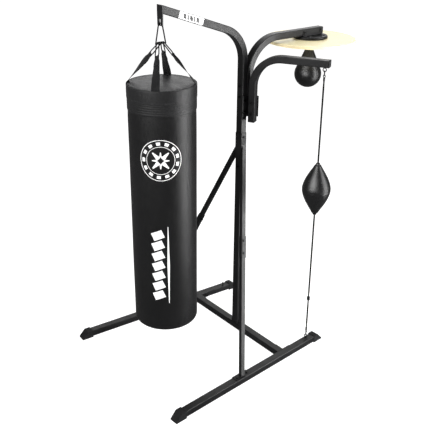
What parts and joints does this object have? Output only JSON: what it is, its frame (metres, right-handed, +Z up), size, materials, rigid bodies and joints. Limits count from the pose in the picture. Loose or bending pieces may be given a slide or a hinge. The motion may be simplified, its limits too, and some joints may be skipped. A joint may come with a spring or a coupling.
{
  "type": "punching bag on stand",
  "caption": "Free-standing boxing stand with a hanging heavy bag, a speed ball under a round rebound board and a double-end ball on elastic cords.",
  "frame": {"origin": "middle of the whole object's footprint, on the floor", "axes": "+Z up; -Y is the front, where the heavy bag hangs; +Y is the rear, under the rebound board; +X is the side of the double-end ball"},
  "size_m": [1.019, 1.6051, 2.0304],
  "materials": {
    "frame_black": "satin black powder coat",
    "rubber_black": "matte black rubber",
    "vinyl_black": "semi-gloss black vinyl",
    "webbing_black": "woven black webbing",
    "steel_dark": "dark plated steel",
    "zinc": "bright zinc plate",
    "pine": "clear-lacquered pale wood",
    "label_white": "printed white film",
    "filling": "compressed textile"
  },
  "bodies": {
    "stand": {"leg_left": "frame_black", "leg_right": "frame_black", "crossbar": "frame_black", "corner_bracket_left": "frame_black", "corner_bracket_right": "frame_black", "post_foot": "frame_black", "post_lower": "frame_black", "post_insert": "frame_black", "post_collar": "frame_black", "main_arm": "frame_black", "hanger_plate": "frame_black", "rear_arm": "frame_black", "board_saddle": "frame_black", "board_flange": "frame_black", "side_arm": "frame_black", "side_arm_bracket": "frame_black", "brace_upper_left": "frame_black", "brace_upper_right": "frame_black", "brace_joint_left": "frame_black", "brace_joint_right": "frame_black", "brace_lower_left": "frame_black", "brace_lower_right": "frame_black", "foot_front_left": "rubber_black", "foot_front_right": "rubber_black", "foot_rear_left": "rubber_black", "foot_rear_right": "rubber_black", "rear_arm_cap": "rubber_black", "side_arm_cap": "rubber_black", "side_arm_plug": "rubber_black", "arm_label": "label_white", "rebound_board": "pine", "swivel_base": "steel_dark", "base_screws": "steel_dark", "post_bolts": "steel_dark", "arm_bolts": "steel_dark", "brace_bolts": "steel_dark", "board_screws": "zinc", "hook_eye": "zinc", "anchor_eye_left": "zinc", "anchor_eye_right": "zinc"},
    "hanger_ring": {"delta_ring": "steel_dark"},
    "heavy_bag": {"snap_hooks": "steel_dark", "strap_front_right": "webbing_black", "strap_rear_right": "webbing_black", "strap_rear_left": "webbing_black", "strap_front_left": "webbing_black", "bag_cover": "vinyl_black", "bag_bands": "vinyl_black", "bag_lid": "vinyl_black", "bag_filling": "filling"},
    "ball_swivel": {"swivel_clevis": "zinc"},
    "speed_ball": {"speed_ball": "vinyl_black"},
    "upper_link": {"upper_link": "zinc"},
    "double_end_ball": {"upper_cord_eye": "zinc", "upper_cord": "rubber_black", "double_end_ball": "vinyl_black"},
    "lower_link": {"lower_link": "zinc"},
    "lower_cord": {"lower_cord_eye": "zinc", "lower_cord": "rubber_black", "cord_stopper": "rubber_black"}
  },
  "joints": [
    {"name": "bag_fore_aft", "type": "hinge", "parent": "stand", "child": "hanger_ring", "pos_m": [0, -0.49594, 1.94331], "axis": [1, 0, 0], "range_deg": [-25, 10.5]},
    {"name": "bag_side_swing", "type": "hinge", "parent": "hanger_ring", "child": "heavy_bag", "pos_m": [0, -0.49594, 1.84631], "axis": [0, 1, 0], "range_deg": [-30, 30]},
    {"name": "swivel_turn", "type": "hinge", "parent": "stand", "child": "ball_swivel", "pos_m": [0, 0.54306, 1.7065], "axis": [0, 0, 1], "continuous": true},
    {"name": "speed_ball_tilt", "type": "hinge", "parent": "ball_swivel", "child": "speed_ball", "pos_m": [0, 0.54306, 1.7065], "axis": [1, 0, 0], "range_deg": [-68, 68]},
    {"name": "upper_link_roll", "type": "hinge", "parent": "stand", "child": "upper_link", "pos_m": [0.39885, 0.25215, 1.677], "axis": [0.8829, 0.4695, 0], "range_deg": [-6, 6]},
    {"name": "double_end_rock", "type": "hinge", "parent": "upper_link", "child": "double_end_ball", "pos_m": [0.39885, 0.25215, 1.65455], "axis": [-0.4695, 0.8829, 0], "range_deg": [-6, 6]},
    {"name": "lower_link_roll", "type": "hinge", "parent": "stand", "child": "lower_link", "pos_m": [0.39885, 0.25215, 0.065], "axis": [0.8829, 0.4695, 0], "range_deg": [-6.5, 6.5]},
    {"name": "lower_cord_rock", "type": "hinge", "parent": "lower_link", "child": "lower_cord", "pos_m": [0.39885, 0.25215, 0.08745], "axis": [-0.4695, 0.8829, 0], "range_deg": [-6.5, 6.5]}
  ],
  "couplings": [
    {"joint": "lower_link_roll", "follows": "upper_link_roll", "ratio": -0.98278},
    {"joint": "lower_cord_rock", "follows": "double_end_rock", "ratio": -0.98229}
  ]
}
